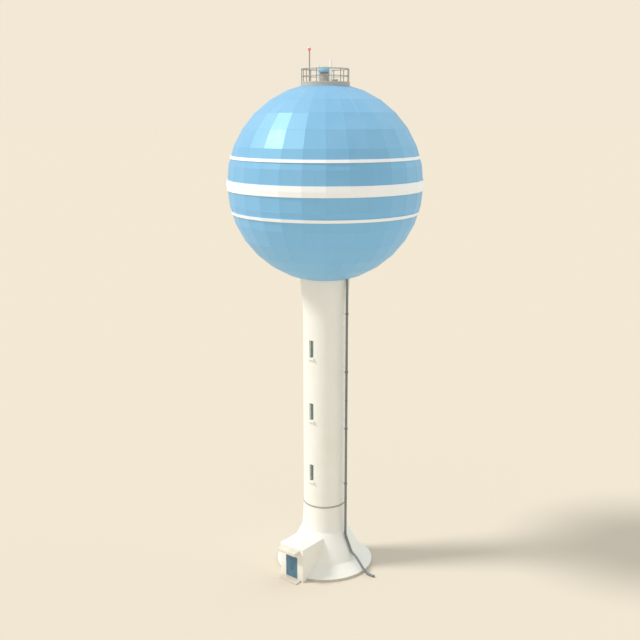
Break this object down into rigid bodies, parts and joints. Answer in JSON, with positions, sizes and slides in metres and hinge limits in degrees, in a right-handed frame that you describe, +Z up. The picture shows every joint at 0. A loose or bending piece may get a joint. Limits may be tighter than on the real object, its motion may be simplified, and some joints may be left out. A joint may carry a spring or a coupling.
{
  "type": "water tower",
  "caption": "Ball-on-a-stem water tower: blue faceted sphere with white bands on a slim white shaft, flared bell base with porch and double door, railed top, overflow pipe.",
  "frame": {"origin": "on the tower's axis at ground level", "axes": "+Z up, the porch and windows face -Y, the overflow pipe runs down the +X side"},
  "size_m": [8.87, 8.87, 24.2794],
  "materials": {
    "white_paint": "satin white paint",
    "white_render": "smooth painted render",
    "blue_paint": "satin blue paint",
    "grey_paint": "matt grey paint",
    "door_paint": "satin slate blue paint",
    "steel": "brushed",
    "pipe_paint": "matt dark grey paint",
    "concrete": "trowelled concrete",
    "glass": "dark tinted pane",
    "beacon_red": "glossy red lens"
  },
  "bodies": {
    "tower": {"band_lower": "white_paint", "band_middle": "white_paint", "band_upper": "white_paint", "neck_cone": "white_paint", "shaft_lower": "white_paint", "shaft_middle": "white_paint", "shaft_upper": "white_paint", "window_frame_1": "white_paint", "window_frame_2": "white_paint", "window_frame_3": "white_paint", "bell_front_right": "white_paint", "bell_back_right": "white_paint", "bell_back_left": "white_paint", "bell_front_left": "white_paint", "vent_pole": "white_paint", "short_pole": "white_paint", "base_curb": "white_render", "porch_left_wall": "white_render", "porch_right_wall": "white_render", "porch_front_left": "white_render", "porch_front_right": "white_render", "porch_lintel": "white_render", "porch_roof": "white_render", "tank_bowl": "blue_paint", "tank_lower_belt": "blue_paint", "tank_upper_belt": "blue_paint", "tank_roof": "blue_paint", "vent_hood": "blue_paint", "seam_ring": "grey_paint", "platform_deck": "grey_paint", "railing": "grey_paint", "vent_trunk": "grey_paint", "beacon_mast": "grey_paint", "equipment_cabinet": "grey_paint", "pipe_bracket_1": "grey_paint", "pipe_bracket_2": "grey_paint", "pipe_bracket_3": "grey_paint", "pipe_bracket_4": "grey_paint", "door_jamb_left": "door_paint", "door_jamb_right": "door_paint", "door_head": "door_paint", "overflow_pipe": "pipe_paint", "ground_floor": "concrete", "porch_step": "concrete", "porch_canopy": "concrete", "window_glass_1": "glass", "window_glass_2": "glass", "window_glass_3": "glass", "beacon_lamp": "beacon_red"},
    "left_leaf": {"door_leaf_left": "door_paint", "door_handle_left": "steel"},
    "right_leaf": {"door_leaf_right": "door_paint", "door_handle_right": "steel"}
  },
  "joints": [
    {"name": "left_leaf_hinge", "type": "hinge", "parent": "tower", "child": "left_leaf", "pos_m": [-0.3235, -2.532, 0.6], "axis": [0, 0, -1], "range_deg": [0, 100]},
    {"name": "right_leaf_hinge", "type": "hinge", "parent": "tower", "child": "right_leaf", "pos_m": [0.3235, -2.532, 0.6], "axis": [0, 0, 1], "range_deg": [0, 100]}
  ]
}
